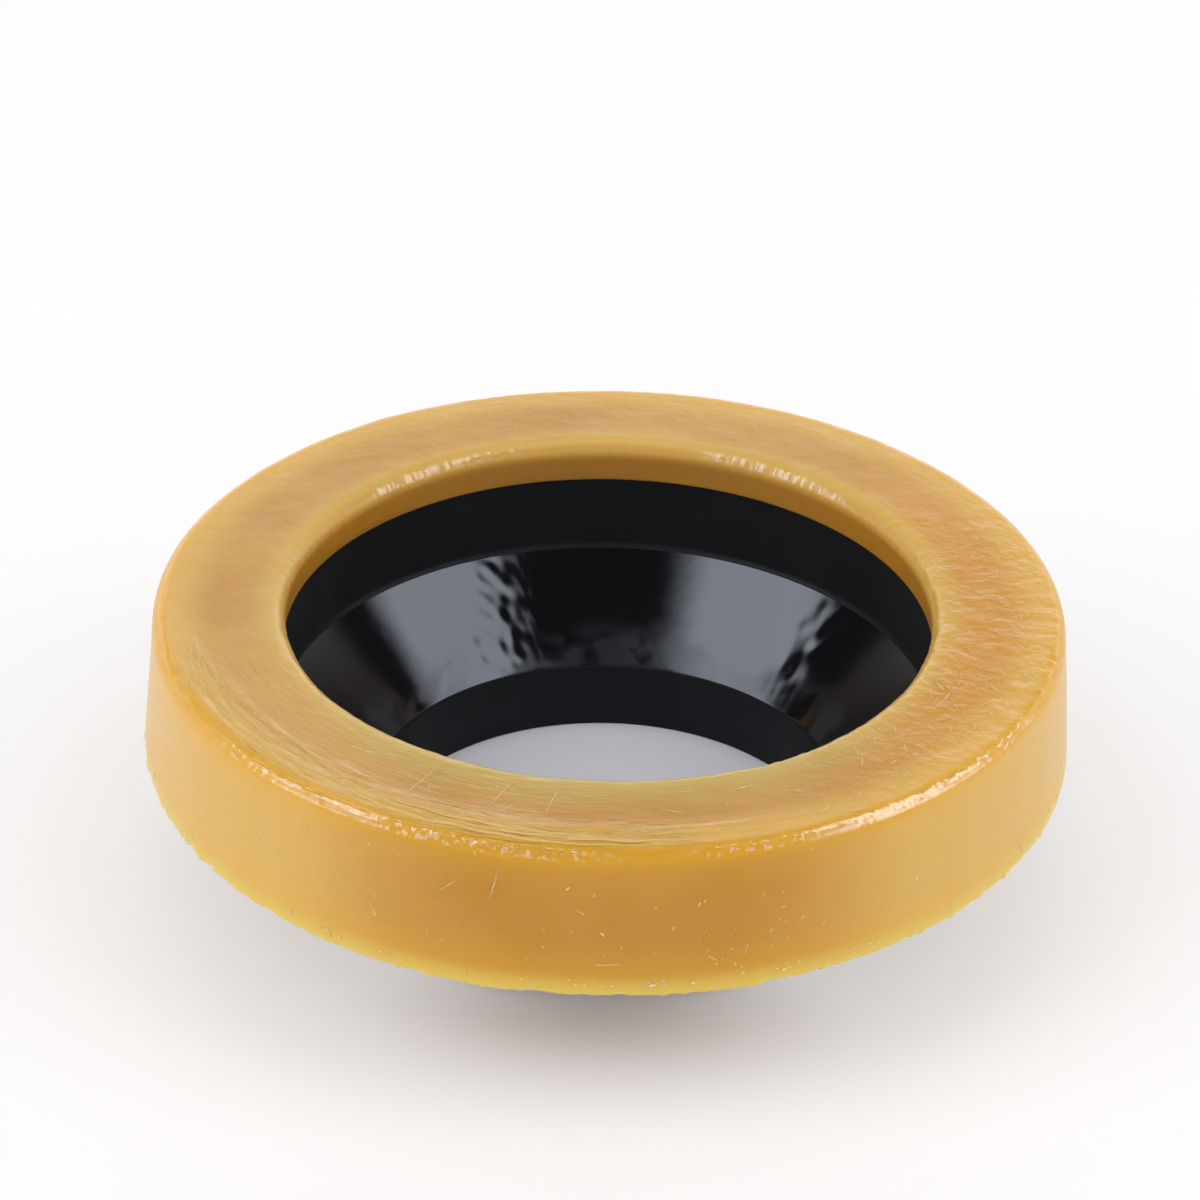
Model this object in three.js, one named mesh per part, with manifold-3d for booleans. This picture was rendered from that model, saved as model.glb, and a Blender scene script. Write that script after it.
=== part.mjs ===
// A toilet pan seal: a wax ring cast round the flange of a moulded plastic outlet sleeve.
// Millimetres, +Z up. The sleeve's end stands on z = 0, and both pieces are turned about the Z axis.
import * as THREE from "three";
import { mergeVertices } from "three/addons/utils/BufferGeometryUtils.js";
import Module from "manifold-3d";

// Wax ring
const waxBore = 89.2; // diameter of the hole at its lip
const waxTopDiameter = 126;
const waxBottomDiameter = 130.6;
const waxThickness = 21.2;
const lipDraft = 0.6; // how much wider the hole's radius is at the lip's foot than at its top
const topEdgeRadius = 2.2;
const lipRadius = 2.4;
const bottomEdgeRadius = 0.9;

// Outlet sleeve
const sleeveWall = 1.6;
const rimDepth = 6.7; // from the wax's top face down to the sleeve's rim
const rimStepBack = 1.9; // how far the cup's wall stands behind the lip of the wax
const cupDepth = 11.6;
const coneDrop = 14;
const throatDiameter = 66.6; // bore where the cone meets the outlet tube
const outletDiameter = 65.2; // bore at the tube's end
const outletLength = 9.6;
const flangeWidth = 8;
const flangeThickness = 1.5;
const bendRadius = 0.8; // rounding of the wall's bends
const sleeveEdgeRadius = 0.3;

// Clearance between the wax and the sleeve that it is cast round
const castGap = 0.3;

// Smoothness
const facets = 72; // round the axis
const arcTolerance = 0.05; // how far a rounded corner's facets may lie inside its arc
const longestShare = 0.49; // of a side, that the rounding at one of its ends may use up

// Heights, from the floor up
const coneFoot = outletLength;
const coneTop = coneFoot + coneDrop;
const rimHeight = coneTop + cupDepth;
const waxTop = rimHeight + rimDepth;
const waxBottom = waxTop - waxThickness;

const lip = waxBore / 2;
const cup = lip + rimStepBack;

// A corner of an outline: radius to the right, height up, and how far it is rounded.
const corner = (radius, height, rounding = 0) => ({
  at: new THREE.Vector2(radius, height),
  rounding,
});

// The points that one rounded corner has on its arc, from the side before it to the side after it.
function arcOf(before, { at, rounding }, after) {
  if (rounding <= 0) return [at.clone()];
  const back = before.clone().sub(at).normalize();
  const onward = after.clone().sub(at).normalize();
  const halfOpening = Math.acos(THREE.MathUtils.clamp(back.dot(onward), -1, 1)) / 2;
  const room = longestShare * Math.min(before.distanceTo(at), after.distanceTo(at));
  const setBack = Math.min(rounding / Math.tan(halfOpening), room);
  const radius = setBack * Math.tan(halfOpening);
  const bisector = back.clone().add(onward).normalize();
  const centre = at.clone().addScaledVector(bisector, radius / Math.sin(halfOpening));
  const start = at.clone().addScaledVector(back, setBack).sub(centre).angle();
  const end = at.clone().addScaledVector(onward, setBack).sub(centre).angle();
  const sweep = THREE.MathUtils.euclideanModulo(end - start + Math.PI, 2 * Math.PI) - Math.PI;
  const widestStep = 2 * Math.acos(1 - Math.min(arcTolerance / radius, 1));
  const steps = Math.max(1, Math.ceil(Math.abs(sweep) / widestStep));
  return Array.from({ length: steps + 1 }, (_, i) => {
    const angle = start + (sweep * i) / steps;
    return new THREE.Vector2(Math.cos(angle), Math.sin(angle)).multiplyScalar(radius).add(centre);
  });
}

// A closed outline with its corners rounded, anticlockwise, as points for a lathe.
function roundedOutline(corners) {
  const count = corners.length;
  const points = corners.flatMap((each, i) =>
    arcOf(corners[(i + count - 1) % count].at, each, corners[(i + 1) % count].at),
  );
  return [...points, points[0].clone()];
}

// An open run of corners moved to the right of its way of travel, with its bends kept as mitres.
function movedAside(corners, distance) {
  const rightOf = (from, to) => {
    const along = to.clone().sub(from).normalize();
    return new THREE.Vector2(along.y, -along.x);
  };
  return corners.map(({ at, rounding }, i) => {
    const sides = [];
    if (i > 0) sides.push(rightOf(corners[i - 1].at, at));
    if (i < corners.length - 1) sides.push(rightOf(at, corners[i + 1].at));
    const mitre = sides.reduce((sum, side) => sum.add(side), new THREE.Vector2()).normalize();
    return { at: at.clone().addScaledVector(mitre, distance / mitre.dot(sides[0])), rounding };
  });
}

function turned(corners) {
  return new THREE.LatheGeometry(roundedOutline(corners), facets).rotateX(Math.PI / 2);
}

const wasm = await Module();
wasm.setup();

function solidOf(geometry) {
  const bare = geometry.clone();
  bare.deleteAttribute("normal");
  bare.deleteAttribute("uv");
  const welded = mergeVertices(bare);
  const vertProperties = welded.attributes.position.array;
  const triVerts = new Uint32Array(welded.index.array);
  return new wasm.Manifold(new wasm.Mesh({ numProp: 3, vertProperties, triVerts }));
}

function geometryOf(solid) {
  const { vertProperties, triVerts } = solid.getMesh();
  const shared = new THREE.BufferGeometry();
  shared.setAttribute("position", new THREE.BufferAttribute(vertProperties, 3));
  shared.setIndex(new THREE.BufferAttribute(triVerts, 1));
  const faceted = shared.toNonIndexed();
  faceted.computeVertexNormals();
  return faceted;
}

// The sleeve's bore, from the outlet's end up to the rim.
const bore = [
  corner(outletDiameter / 2, 0, sleeveEdgeRadius),
  corner(throatDiameter / 2, coneFoot, bendRadius),
  corner(cup, coneTop, bendRadius),
  corner(cup, rimHeight, sleeveEdgeRadius),
];

// The sleeve's outside: one wall away from the bore, then out under the flange and up its edge.
function sleeveOutside() {
  const wall = movedAside(bore, sleeveWall);
  wall[0].at.y = bore[0].at.y; // the outlet is cut off square
  const neck = wall.pop().at.x;
  return [
    ...wall,
    corner(neck, rimHeight - flangeThickness, bendRadius),
    corner(neck + flangeWidth, rimHeight - flangeThickness, sleeveEdgeRadius),
    corner(neck + flangeWidth, rimHeight, sleeveEdgeRadius),
  ];
}

// One moulding: tube, cone and cup of one wall, and the flat flange that the wax grips.
function outletSleeve() {
  return turned([...sleeveOutside(), ...bore.toReversed()]);
}

// The room that the sleeve takes in the wax, bore and clearance included, from below the wax up.
function sleeveRoom() {
  const upperRun = [...sleeveOutside(), corner(0, rimHeight)];
  const [foot, ...sides] = movedAside(upperRun, castGap);
  const overTop = sides.pop().at.y;
  const below = Math.min(foot.at.y, waxBottom) - castGap;
  return turned([corner(0, below), corner(foot.at.x, below), ...sides, corner(0, overTop)]);
}

// The ring before the sleeve's room is taken out of it: drafted outside and rounded on top.
function waxBlank() {
  return turned([
    corner(lip + lipDraft, waxBottom),
    corner(waxBottomDiameter / 2, waxBottom, bottomEdgeRadius),
    corner(waxTopDiameter / 2, waxTop, topEdgeRadius),
    corner(lip, waxTop, lipRadius),
    corner(lip + lipDraft, rimHeight),
  ]);
}

function waxRing() {
  return geometryOf(solidOf(waxBlank()).subtract(solidOf(sleeveRoom())));
}

const amberWax = new THREE.MeshStandardMaterial({ color: 0xcf9a4f, roughness: 0.42, metalness: 0 });
const blackPlastic = new THREE.MeshStandardMaterial({ color: 0x17181a, roughness: 0.22, metalness: 0 });

function piece(name, geometry, material) {
  const mesh = new THREE.Mesh(geometry, material);
  mesh.name = name;
  return mesh;
}

const seal = new THREE.Group();
seal.add(piece("wax_ring", waxRing(), amberWax));
seal.add(piece("outlet_sleeve", outletSleeve(), blackPlastic));

export default seal;
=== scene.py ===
"""Looks of a toilet pan seal: soft, creased amber wax round a glossy black outlet sleeve.

Shapes are worked out in millimetres, in the part's own frame, and scaled to metres as a mesh is made.
Angles round the part are in degrees from its front, growing towards +X.
"""

import math

import bpy
import numpy as np
from mathutils import Matrix, Vector


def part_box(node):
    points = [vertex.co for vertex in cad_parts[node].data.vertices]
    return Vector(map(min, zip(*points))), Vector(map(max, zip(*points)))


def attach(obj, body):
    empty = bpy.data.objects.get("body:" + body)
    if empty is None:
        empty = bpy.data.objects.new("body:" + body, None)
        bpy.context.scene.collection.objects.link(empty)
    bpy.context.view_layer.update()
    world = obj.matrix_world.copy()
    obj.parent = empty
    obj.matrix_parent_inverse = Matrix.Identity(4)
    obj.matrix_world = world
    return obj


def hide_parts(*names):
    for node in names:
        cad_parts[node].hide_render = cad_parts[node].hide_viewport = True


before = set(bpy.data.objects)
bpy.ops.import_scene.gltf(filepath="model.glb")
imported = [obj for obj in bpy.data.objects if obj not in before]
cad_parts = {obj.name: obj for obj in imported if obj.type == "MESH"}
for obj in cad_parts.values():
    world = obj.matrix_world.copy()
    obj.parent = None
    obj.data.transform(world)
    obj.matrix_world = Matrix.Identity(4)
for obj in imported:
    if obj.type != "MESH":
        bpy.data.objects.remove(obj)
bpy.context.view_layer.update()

MM = 0.001

# Sizes of the part that its frame doesn't give, in millimetres
LIP_RADIUS = 44.6
LIP_DRAFT = 0.6
LIP_ROUNDING = 2.4
TOP_RADIUS = 63.0
TOP_ROUNDING = 2.2
BOTTOM_ROUNDING = 1.1
RIM_STEP_BACK = 1.9
SLEEVE_WALL = 1.6
SLEEVE_EDGE = 0.3
SLEEVE_BEND = 0.8
THROAT_RADIUS = 33.3
OUTLET_RADIUS = 32.6
OUTLET_LENGTH = 9.6
CONE_DROP = 14.0
FLANGE_THICKNESS = 1.5
BOND_GAP = 0.04  # between wax and sleeve, too thin to see

# Heights and radii that the frame gives
WAX_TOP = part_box("wax_ring")[1].z / MM
WAX_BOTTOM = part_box("wax_ring")[0].z / MM
WAX_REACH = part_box("wax_ring")[1].x / MM
RIM_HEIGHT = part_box("outlet_sleeve")[1].z / MM
FLANGE_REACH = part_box("outlet_sleeve")[1].x / MM
CONE_TOP = OUTLET_LENGTH + CONE_DROP
CUP_RADIUS = LIP_RADIUS + RIM_STEP_BACK
FACE_HEIGHT = WAX_TOP - 0.18  # of the top face, with room above it for its swells and ridges
BOTTOM_RADIUS = WAX_REACH - 0.25  # leaves room inside the frame for the ragged lower edge
OUTER_LIMIT = WAX_REACH - 0.02
UPPER_LIMIT = WAX_TOP - 0.01

# Turned meshes
AROUND = 720  # columns of each
ARC_STEP = 0.36  # between points on a rounded corner, in millimetres
FRONT = -math.pi / 2  # the way that the camera is
ANGLES = FRONT + 2 * math.pi * np.arange(AROUND) / AROUND
DEGREES = np.degrees(ANGLES - FRONT)


def corner_arc(before, here, after):
    """Points on the rounding of one corner of a section.

    A corner is (radius, height, rounding, spacing of the points after it).
    """
    at = np.array(here[:2])
    if here[2] <= 0:
        return [at]
    back = np.array(before[:2]) - at
    onward = np.array(after[:2]) - at
    back /= np.linalg.norm(back)
    onward /= np.linalg.norm(onward)
    half = math.acos(float(np.clip(back @ onward, -1, 1))) / 2
    set_back = here[2] / math.tan(half)
    bisector = (back + onward) / np.linalg.norm(back + onward)
    centre = at + bisector * here[2] / math.sin(half)
    start = at + back * set_back - centre
    end = at + onward * set_back - centre
    start_angle = math.atan2(start[1], start[0])
    sweep = (math.atan2(end[1], end[0]) - start_angle + math.pi) % (2 * math.pi) - math.pi
    steps = max(3, math.ceil(abs(sweep) * here[2] / ARC_STEP))
    angles = start_angle + sweep * np.arange(steps + 1) / steps
    return [centre + here[2] * np.array([math.cos(a), math.sin(a)]) for a in angles]


def section(corners):
    """Evenly spaced points round a closed section, with its corners rounded."""
    count = len(corners)
    arcs = [corner_arc(corners[i - 1], corners[i], corners[(i + 1) % count]) for i in range(count)]
    points = []
    for i, arc in enumerate(arcs):
        points += arc
        onward = arcs[(i + 1) % count][0]
        steps = max(1, math.ceil(np.linalg.norm(onward - arc[-1]) / corners[i][3]))
        points += [arc[-1] + (onward - arc[-1]) * k / steps for k in range(1, steps)]
    return np.array(points)


def outward(points):
    """Unit normals of a closed section that runs anticlockwise."""
    along = np.roll(points, -1, axis=0) - np.roll(points, 1, axis=0)
    along /= np.linalg.norm(along, axis=1)[:, None]
    return np.column_stack([along[:, 1], -along[:, 0]])


def distance_along(points):
    """How far along the section each point lies."""
    steps = np.linalg.norm(np.diff(points, axis=0), axis=1)
    return np.concatenate([[0], np.cumsum(steps)])


def mesh_piece(name, verts, faces):
    """A smooth-shaded object in the scene, from points in millimetres."""
    mesh = bpy.data.meshes.new(name)
    mesh.from_pydata((np.asarray(verts) * MM).tolist(), [], faces)
    mesh.shade_smooth()
    mesh.update()
    piece = bpy.data.objects.new(name, mesh)
    bpy.context.scene.collection.objects.link(piece)
    return piece


def turned_mesh(name, radii, heights):
    """A closed mesh from a section at each angle, as radii and heights of angle by point."""
    columns, rows = radii.shape
    turns = ANGLES[:, None]
    verts = np.stack([radii * np.cos(turns), radii * np.sin(turns), heights], axis=2)
    index = np.arange(columns * rows).reshape(columns, rows)
    turned_on = np.roll(index, -1, axis=0)
    corners = [index, turned_on, np.roll(turned_on, -1, axis=1), np.roll(index, -1, axis=1)]
    quads = np.stack(corners, axis=2)
    return mesh_piece(name, verts.reshape(-1, 3), quads.reshape(-1, 4).tolist())


def swell(seed, along, radius, around_mm, along_mm, waves=40):
    """A smooth random field of angle by point, of unit spread, in waves of about these lengths."""
    rng = np.random.default_rng(seed)
    evenness = 1.4  # the larger it is, the less often a wave is shorter than asked for
    turns = np.rint(rng.normal(0, 1, waves) * 2 * math.pi * radius / around_mm / evenness)
    pitch = rng.normal(0, 1, waves) * 2 * math.pi / along_mm / evenness
    phase = rng.uniform(0, 2 * math.pi, waves)
    round_part = np.exp(1j * (np.outer(ANGLES, turns) + phase))
    long_part = np.exp(1j * np.outer(along, pitch))
    return (round_part @ long_part.T).real * math.sqrt(2 / waves)


def facets(seed, count):
    """A random line of straight stretches round the ring, of unit spread, as a column."""
    rng = np.random.default_rng(seed)
    knots = np.sort(rng.uniform(0, 360, count))
    levels = rng.normal(0, 1, count)
    return np.interp(DEGREES, knots, levels, period=360)[:, None]


def nicks(seed, count, widest):
    """Random notches round the ring, up to 1 deep and widest degrees wide, as a column."""
    rng = np.random.default_rng(seed)
    total = np.zeros(AROUND)
    for centre, width, depth in zip(*rng.uniform((0, 0.3, 0.2), (360, widest, 1), (count, 3)).T):
        off = (DEGREES - centre + 180) % 360 - 180
        total = np.maximum(total, depth * np.clip(1 - np.abs(off / width), 0, 1))
    return total[:, None]


def bump_at(value, centre, width):
    """A bell curve: 1 at the centre."""
    return np.exp(-(((value - centre) / width) ** 2))


def ramp(value, low, high):
    """0 at low, 1 at high, and smooth between them."""
    share = np.clip((value - low) / (high - low), 0, 1)
    return share * share * (3 - 2 * share)


def facing(degrees, spread):
    """A soft mask round the ring: 1 at an angle, falling off over spread degrees, as a column."""
    off = (DEGREES - degrees + 180) % 360 - 180
    return np.exp(-((off / spread) ** 2))[:, None]


# The wax ring

RIDGES = 60  # dragged into its top


def wax_section():
    """The wax's outline, hollowed for the sleeve, from its foot round by the outside."""
    cone_slope = (CUP_RADIUS - THROAT_RADIUS) / CONE_DROP
    wall_across = (SLEEVE_WALL + BOND_GAP) * math.hypot(1, cone_slope)
    foot = THROAT_RADIUS + (WAX_BOTTOM - OUTLET_LENGTH) * cone_slope + wall_across
    neck = CUP_RADIUS + SLEEVE_WALL + BOND_GAP
    bend = CONE_TOP + (neck - CUP_RADIUS - wall_across) / cone_slope
    under_flange = RIM_HEIGHT - FLANGE_THICKNESS - BOND_GAP
    return section([
        (foot, WAX_BOTTOM, 0.25, 2.0),
        (BOTTOM_RADIUS, WAX_BOTTOM, BOTTOM_ROUNDING, 0.6),
        (TOP_RADIUS, FACE_HEIGHT, TOP_ROUNDING, 0.40),
        (LIP_RADIUS, FACE_HEIGHT, LIP_ROUNDING, 0.45),
        (LIP_RADIUS + LIP_DRAFT, RIM_HEIGHT + BOND_GAP, 0.25, 2.0),
        (FLANGE_REACH + BOND_GAP, RIM_HEIGHT + BOND_GAP, 0, 1.0),
        (FLANGE_REACH + BOND_GAP, under_flange, 0, 2.0),
        (neck, under_flange, 0, 3.0),
        (neck, bend, 0, 1.5),
    ])


class Skin:
    """The wax's outer face.

    A place on it is an angle and a distance from the top edge: in over the top, or below 0, down.
    """

    def __init__(self, points, normals, radii, heights):
        on_top = points[:, 1] >= FACE_HEIGHT - 1e-6
        lip = np.argmin(np.where(on_top, points[:, 0], np.inf))
        self.rows = np.arange(np.argmax(points[:, 0]), lip + 1)
        r, z = points[self.rows].T
        self.from_edge = (TOP_RADIUS - r) - (FACE_HEIGHT - z)
        self.normals, self.radii, self.heights = normals, radii, heights

    def place(self, degrees, from_edge):
        """The points of the face at some angles and distances, and the ways out of it there."""
        row = np.interp(from_edge, self.from_edge, self.rows)
        low = np.clip(row.astype(int), 0, len(self.normals) - 2)
        up = row - low
        column = np.asarray(degrees) / 360 * AROUND
        left = np.floor(column).astype(int)
        over = column - left
        here, there = left % AROUND, (left + 1) % AROUND
        values = []
        for grid in (self.radii, self.heights):
            near = grid[here, low] * (1 - up) + grid[here, low + 1] * up
            far = grid[there, low] * (1 - up) + grid[there, low + 1] * up
            values.append(near * (1 - over) + far * over)
        out = self.normals[low] * (1 - up)[:, None] + self.normals[low + 1] * up[:, None]
        cos, sin = np.cos(np.radians(degrees) + FRONT), np.sin(np.radians(degrees) + FRONT)
        points = np.column_stack([values[0] * cos, values[0] * sin, values[1]])
        return points, np.column_stack([out[:, 0] * cos, out[:, 0] * sin, out[:, 1]])


def drag_ridges(from_edge):
    """Ridges on the top's front left, where its film was dragged to the edge: angle by point."""
    rng = np.random.default_rng(31)
    off = (DEGREES + 180) % 360 - 180
    total = np.zeros((AROUND, len(from_edge)))
    for _ in range(RIDGES):
        start, length = rng.uniform((-72, 10), (2, 34))  # degrees
        inset, drift, height, width = rng.uniform((2.2, -0.06, 0.04, 0.28), (7.5, -0.01, 0.19, 0.5))
        share = np.clip((off - start) / length, 0, 1)
        line = inset + drift * (off - start) + 0.2 * np.sin(off / rng.uniform(3, 8) + start)
        across = (from_edge[None, :] - line[:, None]) / width
        total += height * np.sin(np.pi * share)[:, None] * np.exp(-across * across)
    return total


def wax_ring():
    """The wax, pushed in and out over its shown faces as film and handling left it."""
    points = wax_section()
    normals = outward(points)
    along = distance_along(points)
    r, z = points[:, 0], points[:, 1]
    above_flange = ramp(z, RIM_HEIGHT + 0.3, RIM_HEIGHT + 1.5)
    beyond_flange = ramp(r, FLANGE_REACH + 1.0, FLANGE_REACH + 4.0)
    shown = np.clip(above_flange + beyond_flange, 0, 1)
    top = ramp(z, WAX_TOP - 1.2, WAX_TOP - 0.3)
    edge = bump_at(np.hypot(r - TOP_RADIUS + 0.6, z - WAX_TOP + 0.7), 0, 1.9)
    lip = bump_at(np.hypot(r - LIP_RADIUS - 0.6, z - WAX_TOP + 0.8), 0, 2.2)
    side = ramp(r, TOP_RADIUS - 1.5, TOP_RADIUS)
    down = np.clip((WAX_TOP - z) / (WAX_TOP - WAX_BOTTOM), 0, 1)
    low_edge = bump_at(np.hypot(r - BOTTOM_RADIUS, z - WAX_BOTTOM), 0, 1.3)

    slow = 0.09 * swell(1, along, 60, 70, 30) * (1 - 0.5 * top)
    dents = 0.03 * swell(2, along, 60, 9, 8) * top
    folds = 0.05 * swell(3, along, 58, 2.6, 9) + 0.03 * swell(16, along, 58, 2.2, 2.6)
    right_folds = folds * top * facing(76, 26)
    torn = facing(-20, 9) + facing(18, 8) + facing(57, 6)  # where the top edge isn't smooth
    broken_edge = (0.006 + 0.035 * torn) * swell(4, along, 63, 2.6, 4.5) * edge
    lip_waver = (0.03 * swell(5, along, 45, 6.5, 12) + 0.025 * swell(8, along, 45, 2.2, 6)) * lip
    lip_waver += 0.05 * swell(9, along, 45, 1.4, 2.5) * lip * facing(3, 28)
    flats = (0.10 * facets(6, 42) * down + 0.04 * facets(7, 30) * (1 - down)) * side
    chips = -0.28 * nicks(9, 130, 1.4) * low_edge
    flash = 0.40 * nicks(10, 80, 1.0) * low_edge
    push = (slow + dents + right_folds + broken_edge + lip_waver + flats + chips + flash) * shown
    push += drag_ridges(TOP_RADIUS - r) * top

    radii = np.minimum(r + normals[:, 0] * push, OUTER_LIMIT)
    heights = np.minimum(z + normals[:, 1] * push, UPPER_LIMIT)
    ring = turned_mesh("wax_ring_dressed", radii, heights)
    return ring, Skin(points, normals, radii, heights)


# Scratches, creases, specks and crumbs of wax, each a small closed body sunk in the face

# Pale scratches, each from one place to another: degrees, then millimetres from the top edge
SCRATCHES = [
    ((-27, 4.4), (-26, 15.6)), ((-21, 4.1), (-20, 7.8)), ((-16, 6.5), (-14, 15.5)),
    ((-14, 7), (-12, 10.4)), ((-8, 8.4), (-7, 14.8)), ((48, 11.2), (48, 6.3)),
    ((57, 11.8), (65, 11.6)), ((91, 9.9), (93, 6.4)), ((66, 10.9), (67, 7.1)),
    ((17, 12.4), (23, 12.9)), ((-11, -1), (-10, 0.6)), ((-19, -8.7), (-17, -6.5)),
    ((-39, -5.8), (-35, -5.8)), ((-47, -3.5), (-45, -5.1)), ((-34, -19.2), (-33, -19.3)),
    ((-28, -1.9), (-27, -1.6)), ((-12, -3.7), (-13, -8.7)), ((-3, -8.7), (-2, -9.6)),
    ((-1, -17.5), (2, -17.3)), ((12, -16.5), (13, -17.5)),
]
# Creases that run beside the top edge: degrees, then millimetres from the edge
CREASES = [
    ((-45, 4), (-36, 3.3), (-27, 2.8), (-19, 2.8), (-12, 2.4), (-5, 2.1), (11, 1.9)),
    ((-34, 3.9), (-27, 4.7), (-17, 4.5), (-9, 4.1), (2, 3.9)),
    ((-22, 3.7), (-14, 3.5), (-6, 3.1), (4, 2.9), (12, 3.2)),
]
# Crumbs that hang from the lower edge: degrees, then millimetres across
CRUMBS = [
    (-33, 1.1), (-31.5, 0.8), (-26, 0.9), (-25, 0.7), (-3, 0.6), (1.2, 0.8), (5.6, 1.3), (7, 1.0),
    (21, 0.8),
]
# The largest specks, pale crumbs whose colour also stands in for the glints they catch: degrees, then
# millimetres from the top edge
SPECKS = [
    (-41, -11.9), (-44, -10.2), (-28, -4.4), (-27, -12.2), (-4, -5.6), (8, -11.8),
    (-27, -14.9), (38, -6.9), (31, -11), (39, -13.3), (21, -10.8), (6, -8.4), (-24, -4.5),
    (42, 4.3), (57, 8.2), (0, -12.6),
]


class Marks:
    """Small closed bodies gathered into one mesh, each pale as torn wax or coloured as the wax."""

    SIDES = 6
    STEP = 0.5  # between the points of a line, in millimetres
    PALE, WAX = 0, 1

    def __init__(self, skin):
        self.skin, self.verts, self.faces, self.looks = skin, [], [], []

    def stroke(self, path, width, height, look=PALE):
        """A ridge on the face, tapered at both ends, along rows of degrees and edge distance."""
        points, out = self.skin.place(path[:, 0], path[:, 1])
        ahead = np.gradient(points, axis=0)
        ahead /= np.linalg.norm(ahead, axis=1)[:, None]
        across = np.cross(ahead, out)
        across /= np.linalg.norm(across, axis=1)[:, None]
        count = len(path)
        taper = np.sin(np.pi * (np.arange(count) + 0.5) / count) ** 0.7
        first = sum(len(v) for v in self.verts)
        for k in range(self.SIDES):
            turn = 2 * math.pi * k / self.SIDES
            side = across * (math.cos(turn) * width / 2 * taper)[:, None]
            rise = out * (math.sin(turn) * height * taper)[:, None]
            raised = points + side + rise
            raised[:, 2] = np.minimum(raised[:, 2], WAX_TOP)
            self.verts.append(raised)
        for k in range(self.SIDES):
            here, there = first + k * count, first + (k + 1) % self.SIDES * count
            for i in range(count - 1):
                self.faces.append((here + i, here + i + 1, there + i + 1, there + i))
        starts = [first + k * count for k in range(self.SIDES)]
        self.faces.append(tuple(starts))
        self.faces.append(tuple(start + count - 1 for start in reversed(starts)))
        self.looks += [look] * (self.SIDES * (count - 1) + 2)

    def line(self, corners, width, height, waver=0.0, seed=0, look=PALE):
        """A stroke through some corners, smoothed and a little unsteady."""
        corners = np.asarray(corners, float)
        span = np.hypot(np.radians(np.diff(corners[:, 0])) * TOP_RADIUS, np.diff(corners[:, 1]))
        reach = np.concatenate([[0], np.cumsum(span)])
        count = max(6, math.ceil(reach[-1] / self.STEP))
        at = np.linspace(0, reach[-1], count)
        path = np.column_stack([np.interp(at, reach, corners[:, i]) for i in range(2)])
        rng = np.random.default_rng(seed)
        for pitch in (0.3, 0.9):
            phase, size = rng.uniform(0, 2 * math.pi), rng.uniform(0.5, 1) * waver
            path[:, 1] += size * np.sin(pitch * at + phase)
        self.stroke(path, width, height, look)

    def speck(self, degrees, from_edge, size, lean=0.0):
        """A pale crumb, longer than it is wide, that leans up or down the face; its pale colour is
        partly a painted glint.
        """
        reach = size * np.array([-0.6, -0.2, 0.2, 0.6])
        path = np.column_stack([degrees + reach, from_edge + lean * reach])
        self.stroke(path, 0.7 * size, 0.3 * size)


def wax_marks(skin):
    """The marks placed one by one, and the scattered ones between them."""
    marks = Marks(skin)
    rng = np.random.default_rng(21)

    def scattered_specks(count, low, high, tilt):
        for _ in range(count):
            degrees, from_edge, size = (rng.uniform(*limits) for limits in zip(low, high))
            marks.speck(degrees, from_edge, size, rng.normal(0, tilt))

    for i, ends in enumerate(SCRATCHES):
        marks.line(ends, 0.15, 0.05, 0.08, 100 + i)
    for i, corners in enumerate(CREASES):
        marks.line(corners, 0.55, 0.13, 0.15, 200 + i, Marks.WAX)
    # Specks: pale crumbs, partly painted glints.
    for place in SPECKS:
        marks.speck(*place, rng.uniform(0.25, 0.4), rng.normal(0, 1.5))
    scattered_specks(150, (-180, -19, 0.12), (180, 16, 0.28), 1.5)
    scattered_specks(70, (-50, -19, 0.12), (40, -12, 0.24), 1.5)
    # Hairline scratches on the front of the top
    for i in range(20):
        start = rng.uniform((-60, 3.5), (10, 15))
        end = start + (rng.uniform(3, 8), rng.normal(0, 1.0))
        marks.line((start, end), 0.12, 0.03, 0.15, 300 + i)
    # Rubbed lines that lean across the side
    for i in range(34):
        start = rng.uniform((-34, -17), (-12, -5))
        lean = rng.normal(1.1, 0.6)
        reach = rng.uniform(1, 3.5)
        end = start + (reach, reach * lean)
        marks.line((start, end), 0.10, 0.035, 0.25, 400 + i, Marks.WAX)
    # Short ridges among the dragged ones
    for i in range(170):
        start = rng.uniform((-75, 1.8), (10, 7.5))
        end = start + (rng.uniform(1.5, 5), rng.normal(-0.2, 0.4))
        width, height = rng.uniform(0.15, 0.35), rng.uniform(0.05, 0.09)
        marks.line((start, end), width, height, 0.15, 500 + i, Marks.WAX)
    # Creases on the right of the top
    for i in range(70):
        start = rng.uniform((25, 1.8), (115, 15))
        end = start + (rng.uniform(0.5, 2.0), rng.normal(0.3, 1.0))
        width, height = rng.uniform(0.3, 0.6), rng.uniform(0.03, 0.06)
        marks.line((start, end), width, height, 0.3, 700 + i, Marks.WAX)
    for degrees, size in CRUMBS:
        marks.speck(degrees, -20.8, 0.6 * size, rng.normal(0, 0.6))
    scattered_specks(60, (-75, -21, 0.15), (75, -19.8, 0.4), 1)
    piece = mesh_piece("wax_marks", np.concatenate(marks.verts), marks.faces)
    piece.data.polygons.foreach_set("material_index", marks.looks)
    return piece


# The outlet sleeve

# Dimples in the cone: degrees, then millimetres above its foot, across and deep
DIMPLES = [
    (180 + 39, 3.6, 1.0, 0.10), (180 + 33, 4.4, 1.5, 0.14), (180 + 30, 3.0, 1.3, -0.10),
    (180 - 49, 8.0, 1.2, 0.12), (180 - 48, 5.0, 1.5, -0.13), (180 - 43, 4.6, 1.2, 0.13),
]
DIMPLED_RADIUS = 38  # of the cone where they lie


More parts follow.
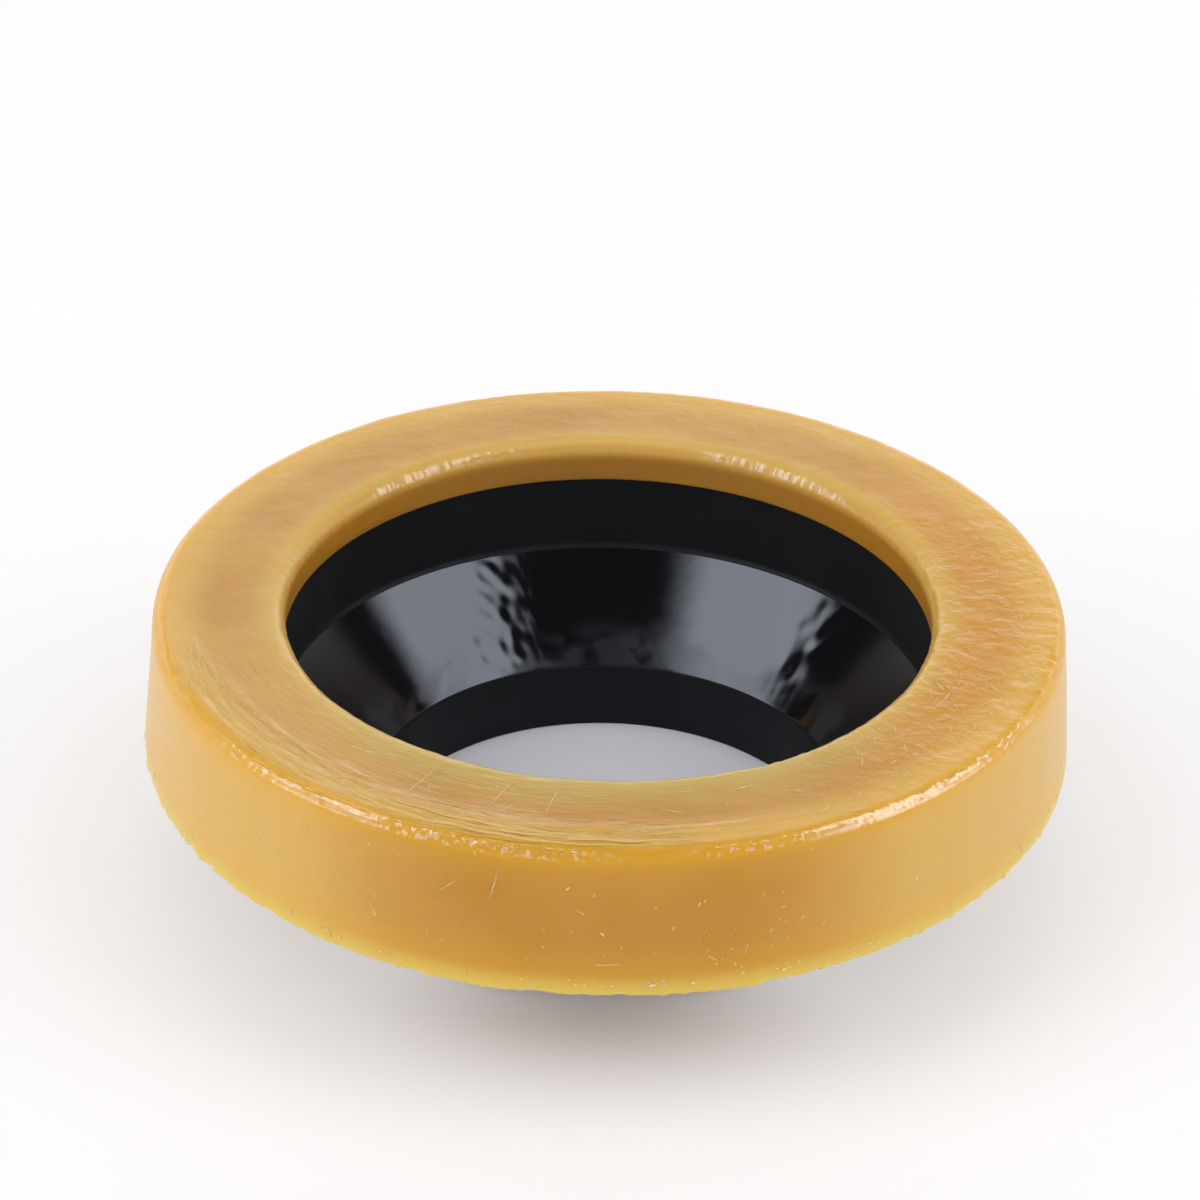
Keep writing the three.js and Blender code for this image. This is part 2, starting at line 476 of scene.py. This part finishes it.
def sleeve_section():
    """The sleeve's outline, from its outlet's end up the outside and down the bore."""
    cone_slope = (CUP_RADIUS - THROAT_RADIUS) / CONE_DROP
    slant = math.hypot(1, cone_slope)
    neck = CUP_RADIUS + SLEEVE_WALL
    out_bend = CONE_TOP - (SLEEVE_WALL * slant - SLEEVE_WALL) / cone_slope
    out_foot = OUTLET_LENGTH - (SLEEVE_WALL * slant - SLEEVE_WALL) / cone_slope
    fine, medium, coarse = 0.42, 0.8, 2.0
    return section([
        (OUTLET_RADIUS, 0, SLEEVE_EDGE, coarse),
        (OUTLET_RADIUS + SLEEVE_WALL, 0, SLEEVE_EDGE, coarse),
        (THROAT_RADIUS + SLEEVE_WALL, out_foot, SLEEVE_BEND, coarse),
        (neck, out_bend, SLEEVE_BEND, coarse),
        (neck, RIM_HEIGHT - FLANGE_THICKNESS, 0.6, coarse),
        (FLANGE_REACH, RIM_HEIGHT - FLANGE_THICKNESS, SLEEVE_EDGE, coarse),
        (FLANGE_REACH, RIM_HEIGHT, SLEEVE_EDGE, coarse),
        (CUP_RADIUS, RIM_HEIGHT, SLEEVE_EDGE, medium),
        (CUP_RADIUS, CONE_TOP, SLEEVE_BEND, fine),
        (THROAT_RADIUS, OUTLET_LENGTH, SLEEVE_BEND, medium),
    ])


def outlet_sleeve():
    """The sleeve, with slight waves and dimples in its cone, which its reflections show."""
    points = sleeve_section()
    normals = outward(points)
    along = distance_along(points)
    r, z = points[:, 0], points[:, 1]
    cone_radius = THROAT_RADIUS + (z - OUTLET_LENGTH) * (CUP_RADIUS - THROAT_RADIUS) / CONE_DROP
    cone = bump_at(r - cone_radius, 0, 0.5) * ramp(z, OUTLET_LENGTH + 0.2, OUTLET_LENGTH + 2)
    cone *= 1 - ramp(z, CONE_TOP - 1.2, CONE_TOP + 0.2)
    low = 1 - ramp(z, OUTLET_LENGTH + 5, OUTLET_LENGTH + 9)
    gentle = 0.006 * swell(11, along, 40, 22, 14)
    left_flow = 0.032 * swell(12, along, 40, 3.0, 4.5) * facing(180 + 23, 5)
    left_edge = 0.012 * swell(14, along, 40, 2.2, 4) * facing(180 + 17, 2)
    right_flow = 0.018 * swell(13, along, 40, 4, 6) * facing(180 - 46, 6)
    right_cloud = 0.012 * swell(15, along, 40, 7, 5) * facing(180 - 32, 9) * low
    push = gentle + left_flow + left_edge + right_flow + right_cloud
    for degrees, height, size, depth in DIMPLES:
        round_part = facing(degrees, math.degrees(size / DIMPLED_RADIUS))
        push -= depth * round_part * bump_at(z, OUTLET_LENGTH + height, 0.8 * size)
    push *= cone
    radii = r + normals[:, 0] * push
    heights = z + normals[:, 1] * push
    sleeve = turned_mesh("outlet_sleeve_dressed", radii, heights)
    polished = (np.abs(r - cone_radius) < 0.02) & (z > OUTLET_LENGTH + 0.3) & (z < CONE_TOP - 0.4)
    sleeve.data.polygons.foreach_set("material_index", np.tile(polished.astype(int), AROUND))
    return sleeve


# Materials


class Graph:
    """The nodes of a material or a world, built one value at a time.

    Places are in the part's millimetres, or in a world, the ways out from the part, of length 1.
    """

    MIX_SHARE, MIX_FIRST, MIX_SECOND, MIX_COLOUR = 0, 6, 7, 2

    def __init__(self, name, of_world=False):
        self.owner = (bpy.data.worlds if of_world else bpy.data.materials).new(name)
        self.owner.use_nodes = True
        self.tree = self.owner.node_tree
        self.tree.nodes.clear()
        if of_world:
            self.place = self.node("ShaderNodeTexCoord").outputs["Generated"]
        else:
            self.place = self.scaled(self.node("ShaderNodeNewGeometry").outputs["Position"], 1 / MM)
        self.x, self.y, self.z = self.node("ShaderNodeSeparateXYZ", Vector=self.place).outputs
        self.radius = self.math("SQRT", self.add(self.power(self.x, 2), self.power(self.y, 2)))

    def node(self, kind, settings=None, **inputs):
        made = self.tree.nodes.new(kind)
        for key, value in (settings or {}).items():
            setattr(made, key, value)
        for key, value in inputs.items():
            self.feed(made.inputs[key.replace("_", " ")], value)
        return made

    def feed(self, socket, value):
        if isinstance(value, bpy.types.NodeSocket):
            self.tree.links.new(value, socket)
        else:
            socket.default_value = value

    def math(self, operation, *values):
        made = self.tree.nodes.new("ShaderNodeMath")
        made.operation = operation
        for socket, value in zip(made.inputs, values):
            self.feed(socket, value)
        return made.outputs[0]

    def power(self, value, exponent):
        return self.math("POWER", self.math("ABSOLUTE", value), exponent)

    def add(self, first, *rest):
        for value in rest:
            first = self.math("ADD", first, value)
        return first

    def less(self, first, second):
        return self.math("SUBTRACT", first, second)

    def times(self, first, *rest):
        for value in rest:
            first = self.math("MULTIPLY", first, value)
        return first

    def most(self, first, second):
        return self.math("MAXIMUM", first, second)

    def scaled(self, vector, by):
        made = self.tree.nodes.new("ShaderNodeVectorMath")
        made.operation = "SCALE"
        self.feed(made.inputs[0], vector)
        made.inputs["Scale"].default_value = by
        return made.outputs[0]

    def reach_along(self, axis):
        """How far a place lies along an axis, either way."""
        made = self.node("ShaderNodeVectorMath", {"operation": "DOT_PRODUCT"})
        self.feed(made.inputs[0], self.place)
        self.feed(made.inputs[1], axis)
        return self.math("ABSOLUTE", made.outputs["Value"])

    def vector(self, x, y, z):
        return self.node("ShaderNodeCombineXYZ", X=x, Y=y, Z=z).outputs[0]

    def round_about(self, at_radius, around_mm, across, across_mm):
        """Places for a noise with waves around_mm long round the axis and across_mm long across."""
        wheel = self.math("DIVIDE", at_radius / around_mm, self.radius)
        crosswise = self.times(across, 1 / across_mm)
        return self.vector(self.times(self.x, wheel), self.times(self.y, wheel), crosswise)

    def ramp(self, value, low, high):
        """0 below low, 1 above high, and smooth between them; it falls where high is below low."""
        flip = high < low
        smooth = {"interpolation_type": "SMOOTHSTEP", "clamp": True}
        made = self.node("ShaderNodeMapRange", smooth, Value=value)
        made.inputs["From Min"].default_value = min(low, high)
        made.inputs["From Max"].default_value = max(low, high)
        made.inputs["To Min"].default_value = 1.0 if flip else 0.0
        made.inputs["To Max"].default_value = 0.0 if flip else 1.0
        return made.outputs["Result"]

    def facing(self, degrees, near, far):
        """1 within near degrees of an angle round the part, and 0 beyond far."""
        turn = math.radians(degrees)
        ahead = self.add(self.times(self.x, math.sin(turn)), self.times(self.y, -math.cos(turn)))
        share = self.math("DIVIDE", ahead, self.radius)
        return self.ramp(share, math.cos(math.radians(far)), math.cos(math.radians(near)))

    def noise(self, vector, scale, detail=2.0, roughness=0.5, distortion=0.0):
        made = self.node("ShaderNodeTexNoise", {"noise_dimensions": "3D"}, Vector=vector)
        made.inputs["Scale"].default_value = scale
        made.inputs["Detail"].default_value = detail
        made.inputs["Roughness"].default_value = roughness
        made.inputs["Distortion"].default_value = distortion
        return made.outputs["Fac"]

    def mix(self, share, first, second):
        made = self.node("ShaderNodeMix", {"data_type": "RGBA", "clamp_factor": True})
        self.feed(made.inputs[self.MIX_SHARE], share)
        self.feed(made.inputs[self.MIX_FIRST], first)
        self.feed(made.inputs[self.MIX_SECOND], second)
        return made.outputs[self.MIX_COLOUR]

    def bump(self, height, millimetres):
        """Raises the surface by height times the given millimetres."""
        made = self.node("ShaderNodeBump", Height=height)
        made.inputs["Strength"].default_value = 1.0
        made.inputs["Distance"].default_value = millimetres * MM
        return made.outputs["Normal"]

    def surface(self, **inputs):
        shader = self.node("ShaderNodeBsdfPrincipled")
        for key, value in inputs.items():
            self.feed(shader.inputs[key.replace("_", " ")], value)
        self.node("ShaderNodeOutputMaterial", Surface=shader.outputs[0])


def srgb(*levels):
    """A linear colour from levels of 0 to 255 as they show on a screen."""
    share = np.array(levels) / 255
    linear = np.where(share <= 0.04045, share / 12.92, ((share + 0.055) / 1.055) ** 2.4)
    return (*linear.tolist(), 1.0)


def wax_body(g):
    """The wax's colour, paler and yellower where it is thin, near its edges, with painted shade that
    darkens its front and the wall in its hole, and a painted sheen that lightens its sides.
    """
    tan = srgb(203, 156, 86)
    honey = srgb(202, 157, 72)
    brown = srgb(175, 119, 35)
    front_brown_and_shade = srgb(184, 128, 33)
    pale = srgb(234, 202, 130)
    olive = srgb(184, 166, 88)
    rust = srgb(204, 144, 50)
    straw = srgb(206, 174, 88)
    gold = srgb(200, 148, 14)
    amber = srgb(204, 150, 42)
    cream = srgb(218, 176, 88)
    lemon = srgb(212, 188, 88)
    hole_shade_ochre = srgb(178, 120, 30)
    wheat = srgb(214, 168, 72)
    saffron = srgb(212, 160, 48)
    depth = g.less(WAX_TOP, g.z)
    drop = WAX_TOP - WAX_BOTTOM
    on_top = g.ramp(depth, 1.6, 0.4)
    mottle = g.ramp(g.noise(g.place, 0.06, 2, 0.5), 0.2, 0.8)
    ahead = g.facing(0, 8, 42)
    # Painted shade: the side is a darker brown at the front, partly the wax's colour and partly shade
    # where less light falls on it.
    side = g.mix(ahead, honey, front_brown_and_shade)
    mottled_side = g.mix(g.times(mottle, 0.4), side, honey)
    mottled_top = g.mix(g.times(mottle, 0.5), tan, brown)
    body = g.mix(on_top, mottled_side, mottled_top)
    body = g.mix(g.times(on_top, g.facing(84, 25, 60), 0.75), body, rust)
    # Painted shade: the top is darkened at its front.
    body = g.mix(g.times(on_top, g.facing(4, 22, 50), 0.3), body, brown)
    near_edge = g.ramp(g.radius, TOP_RADIUS - 9, TOP_RADIUS - 2.5)
    near_lip = g.ramp(g.radius, LIP_RADIUS + 6, LIP_RADIUS + 1)
    lip_in_front = g.times(g.ramp(g.radius, LIP_RADIUS + 11, LIP_RADIUS + 3), g.facing(0, 25, 60))
    body = g.mix(g.times(on_top, near_edge, 0.75), body, cream)
    body = g.mix(g.times(on_top, near_lip, 0.7), body, straw)
    body = g.mix(g.times(on_top, lip_in_front, 0.5), body, olive)
    on_side = g.ramp(g.radius, TOP_RADIUS - 2.4, TOP_RADIUS - 1.2)
    # Painted sheen: the sides, away from the front, are made paler.
    body = g.mix(g.times(on_side, g.less(1.0, ahead), 0.22), body, pale)
    # The bands under the top edge are darker at the front as well: partly colour, partly painted
    # shade.
    warm = g.mix(ahead, wheat, amber)
    warmest = g.mix(ahead, saffron, gold)
    body = g.mix(g.times(on_side, g.ramp(depth, 8.0, 1.0), 0.5), body, warm)
    body = g.mix(g.times(on_side, g.ramp(depth, 3.5, 1.0), 0.85), body, warmest)
    body = g.mix(g.times(on_side, g.ramp(depth, drop - 9, drop - 2), 0.7), body, warm)
    body = g.mix(g.times(on_side, g.ramp(depth, drop - 4.0, drop - 0.8), 0.85), body, lemon)
    # Painted shade: the wall in the hole, facing the dark sleeve, is made darker and browner.
    shaded_hole_wall = g.times(g.ramp(depth, 1.6, 3.4), g.ramp(g.radius, LIP_RADIUS + 2.4, LIP_RADIUS + 1.2))
    return g.mix(g.times(shaded_hole_wall, 0.9), body, hole_shade_ochre)


def wax_relief(g, bead):
    """Creases that the packing film left in the wax, finer than the mesh has them."""
    across = g.less(g.radius, g.z)
    depth = g.less(WAX_TOP, g.z)
    on_top = g.ramp(depth, 1.4, 0.3)
    on_edge = g.times(g.ramp(g.radius, TOP_RADIUS - 2.4, TOP_RADIUS - 1.4), g.ramp(depth, 3.0, 1.8))
    drag = g.noise(g.round_about(60, 6, across, 1.1), 1.0, 1, 0.7)
    near_edge = g.add(0.5, g.ramp(g.radius, TOP_RADIUS - 9, TOP_RADIUS - 4))
    fold = g.noise(g.place, 0.36, 2, 0.6)
    film = g.noise(g.place, 0.7, 0, 0.55)
    beaded = g.add(
        g.times(g.facing(-36, 10, 18), 0.25),
        g.facing(-19, 6, 12),
        g.facing(18, 5, 9),
        g.facing(57, 4, 8),
    )
    height = g.add(
        g.times(drag, on_top, g.add(0.1, g.facing(-38, 25, 60)), near_edge, 0.4),
        g.times(fold, on_top, g.add(0.15, g.facing(74, 20, 55)), 0.46),
        g.times(bead, on_edge, beaded, 0.16),
        g.times(film, 0.05),
    )
    return g.bump(height, 1.0)


def wax_material():
    g = Graph("amber_wax")
    bead = g.noise(g.round_about(60, 0.8, g.less(g.radius, g.z), 1.2), 1.0, 1, 0.5)
    relief = wax_relief(g, bead)
    depth = g.less(WAX_TOP, g.z)
    # The edge and the lip are glossy only where they are round and smooth
    outer_edge = g.ramp(g.radius, TOP_RADIUS - 1.4, TOP_RADIUS - 0.8)
    outer_edge = g.times(outer_edge, g.ramp(depth, 1.7, 1.2))
    lip = g.times(g.ramp(g.radius, LIP_RADIUS + 1.6, LIP_RADIUS + 0.9), g.ramp(depth, 1.9, 1.3))
    spots = g.times(g.ramp(bead, 0.5, 0.6), g.add(g.facing(-26, 22, 30), g.facing(38, 24, 30)))
    smooth = g.add(g.times(g.facing(-35, 5, 10), 0.6), g.facing(38, 8, 16))
    shining = g.most(spots, g.times(smooth, g.ramp(bead, 0.25, 0.5)))
    lip_spots = g.times(g.ramp(bead, 0.4, 0.6), 0.6)
    back_lip = g.times(g.add(g.facing(180 - 33, 12, 20), g.facing(180 + 35, 12, 20)), lip_spots)
    glossy = g.add(g.times(outer_edge, shining), g.times(lip, back_lip))
    g.surface(
        Base_Color=wax_body(g),
        Roughness=0.32,
        IOR=1.4,
        Coat_Weight=g.math("MINIMUM", glossy, 1.0),
        Coat_Roughness=0.11,
        Coat_IOR=2.5,
        Coat_Normal=relief,
        Subsurface_Weight=0.55,
        Subsurface_Radius=(1.0, 0.55, 0.16),
        Subsurface_Scale=0.0035,
        Normal=relief,
    )
    return g.owner


def raised_material():
    """Wax in ridges and crumbs too small for light to spread in."""
    g = Graph("raised_wax")
    paler = g.mix(0.2, wax_body(g), srgb(232, 190, 110))
    g.surface(Base_Color=paler, Roughness=0.28, IOR=1.45)
    return g.owner


def mark_material():
    """Wax that has been scratched or torn, which turns pale; on the specks and crumbs the pale colour
    is also a painted glint.
    """
    g = Graph("scratched_wax")
    speckle = g.noise(g.place, 1.5, 2, 0.5)
    torn, dry = srgb(214, 172, 104), srgb(236, 205, 146)
    g.surface(
        Base_Color=g.mix(g.ramp(speckle, 0.3, 0.7), torn, dry),
        Roughness=g.add(0.22, g.times(speckle, 0.1)),
        IOR=1.45,
        Subsurface_Weight=0.3,
        Subsurface_Radius=(1.0, 0.6, 0.25),
        Subsurface_Scale=0.001,
    )
    return g.owner


def plastic_material(name, level, roughness, smear_roughness, ior, grain_mm):
    """Black plastic: its grey level, how rough it is clean and what a smear adds, and its grain."""
    g = Graph(name)
    smear = g.noise(g.place, 0.12, 3, 0.6)
    grain = g.noise(g.place, 0.35, 2, 0.5)
    dusty = srgb(level + 4, level + 4, level + 6)
    rubbed = g.times(g.facing(0, 112, 126), 0.22)  # the front, where the gloss has been rubbed off
    scuff = g.ramp(g.noise(g.place, 0.11, 2, 0.6, 0.8), 0.36, 0.62)
    scuffed = g.times(g.ramp(g.z, CONE_TOP - 7.0, OUTLET_LENGTH + 2.5), scuff, smear_roughness)
    g.surface(
        Base_Color=g.mix(g.ramp(smear, 0.4, 0.75), srgb(level, level, level + 1), dusty),
        Roughness=g.add(roughness, scuffed, rubbed),
        IOR=ior,
        Specular_Tint=(0.80, 0.86, 1.0, 1.0),
        Normal=g.bump(grain, grain_mm),
    )
    return g.owner


def floor_material():
    """A near-white floor, which camera and reflections see as plain white away from the part; nearer
    the part, painted white lightens its shadow, and painted shade darkens the floor in the bore.
    """
    g = Graph("pale_floor")
    in_bore = g.ramp(g.radius, OUTLET_RADIUS + SLEEVE_WALL, OUTLET_RADIUS - 0.5)
    # Painted shade: the floor in the bore is darker and bluer.
    open_floor, shaded_bore_floor = srgb(248, 247, 247), srgb(227, 228, 236)
    paint = g.node("ShaderNodeBsdfDiffuse", Color=g.mix(in_bore, open_floor, shaded_bore_floor))
    white = g.node("ShaderNodeEmission", Color=srgb(254, 252, 253), Strength=1.0)
    path = g.node("ShaderNodeLightPath").outputs
    seen = g.most(g.most(path["Is Camera Ray"], path["Is Glossy Ray"]), path["Is Transmission Ray"])
    behind = g.ramp(g.y, 40, 330)
    # Painted light: white is painted over the part's shadow as seen, least below the front of the
    # wax, where the shadow is deepest, and more from there outwards, so the shadow thins out.
    core_y, core_reach = -40, 38
    deepest, thinning = 0.06, 0.36
    core_shape = g.add(g.power(g.x, 2), g.power(g.times(g.less(g.y, core_y), 2), 2))
    painted_shadow_lift = g.add(deepest, g.times(g.ramp(g.math("SQRT", core_shape), 0, core_reach), thinning))
    painted_shadow_lift = g.times(painted_shadow_lift, g.ramp(g.radius, OUTLET_RADIUS + SLEEVE_WALL, OUTLET_RADIUS + 8))
    both = g.node("ShaderNodeMixShader")
    g.feed(both.inputs[0], g.times(seen, g.most(behind, painted_shadow_lift)))
    g.feed(both.inputs[1], paint.outputs[0])
    g.feed(both.inputs[2], white.outputs[0])
    g.node("ShaderNodeOutputMaterial", Surface=both.outputs[0])
    return g.owner


# Stage, light and camera

# Soft boxes in the room, on a sphere of radius 1: degrees round and up, width, height, brightness
SOFT_BOXES = [(77.5, 37, 0.54, 0.98, 2.35), (-68, 38, 0.60, 0.96, 2.5)]
SOFT_SIDE, SOFT_END = 0.09, 0.05  # how far their light fades, both ways from their sides and ends


def pale_floor():
    half = 4000
    corners = [(-half, -half, 0), (half, -half, 0), (half, half, 0), (-half, half, 0)]
    floor = mesh_piece("floor", corners, [(0, 1, 2, 3)])
    floor.data.materials.append(floor_material())


def room_light(level):
    """White light, a little cool."""
    return (0.985 * level, 0.99 * level, level, 1.0)


def soft_box(g, azimuth, elevation, width, height):
    """A rectangle in the room that is 1 in its middle and fades at its sides."""
    turn, rise = math.radians(azimuth), math.radians(elevation)
    level = math.cos(rise)
    away = Vector((level * math.sin(turn), -level * math.cos(turn), math.sin(rise)))
    upright = away.to_track_quat("Z", "Y")
    sideways = g.reach_along(upright @ Vector((1, 0, 0)))
    upwards = g.reach_along(upright @ Vector((0, 1, 0)))
    return g.times(
        g.ramp(sideways, width / 2 + SOFT_SIDE, width / 2 - SOFT_SIDE),
        g.ramp(upwards, height / 2 + SOFT_END, height / 2 - SOFT_END),
    )


def surroundings():
    """A white room: pale low down all round, and dim high in front, where the real camera stood.

    Two soft boxes light the part, one from each side.
    """
    g = Graph("room", of_world=True)
    dim = room_light(0.045)
    ceiling = room_light(1.4)
    back_wall = room_light(0.82)
    skirting = room_light(2.05)
    front_fill = room_light(1.15)
    light = g.mix(g.ramp(g.z, 0.86, 0.95), dim, ceiling)
    light = g.mix(g.ramp(g.y, 0.4, 0.75), light, back_wall)
    light = g.mix(g.ramp(g.z, 0.46, 0.14), light, skirting)
    light = g.mix(g.times(g.ramp(g.y, -0.45, -0.7), g.ramp(g.z, 0.68, 0.5)), light, front_fill)
    for *box, level in SOFT_BOXES:
        light = g.mix(soft_box(g, *box), light, room_light(level))
    shade = g.node("ShaderNodeBackground", Color=light)
    g.node("ShaderNodeOutputWorld", Surface=shade.outputs[0])
    bpy.context.scene.world = g.owner


def photo_camera():
    """The photograph's view of the part."""
    long_side_px = 1200
    focal_px = 3800
    back_mm, up_mm = 453.3, 268.2
    yaw, pitch, roll = (math.radians(v) for v in (-0.161, 30.685, 1.048))
    data = bpy.data.cameras.new("camera")
    data.sensor_width = 36.0
    data.lens = focal_px / long_side_px * data.sensor_width
    data.clip_start = 0.01
    camera = bpy.data.objects.new("camera", data)
    level = math.cos(pitch)
    ahead = Vector((math.sin(yaw) * level, math.cos(yaw) * level, -math.sin(pitch)))
    right = Vector((math.cos(yaw), -math.sin(yaw), 0))
    over = right.cross(ahead)
    side = right * math.cos(roll) + over * math.sin(roll)
    over = over * math.cos(roll) - right * math.sin(roll)
    turn = Matrix((side, over, -ahead)).transposed()
    place = Vector((0, -back_mm, WAX_TOP + up_mm)) * MM
    camera.matrix_world = Matrix.Translation(place) @ turn.to_4x4()
    bpy.context.scene.collection.objects.link(camera)
    bpy.context.scene.camera = camera


def dress(piece, materials, node=None):
    """Gives a piece its materials and its place in the part."""
    for material in materials:
        piece.data.materials.append(material)
    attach(piece, "root")
    if node:
        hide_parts(node)


photo_camera()
ring, skin = wax_ring()
dull = plastic_material(
    "dull_black_plastic", level=17, roughness=0.55, smear_roughness=0.0, ior=1.35, grain_mm=0.02
)
polished = plastic_material(
    "polished_black_plastic",
    level=5,
    roughness=0.08,
    smear_roughness=0.18,
    ior=1.88,
    grain_mm=0.012,
)
dress(ring, [wax_material()], "wax_ring")
dress(wax_marks(skin), [mark_material(), raised_material()])
dress(outlet_sleeve(), [dull, polished], "outlet_sleeve")
pale_floor()
surroundings()
bpy.context.scene.view_settings.view_transform = "Standard"
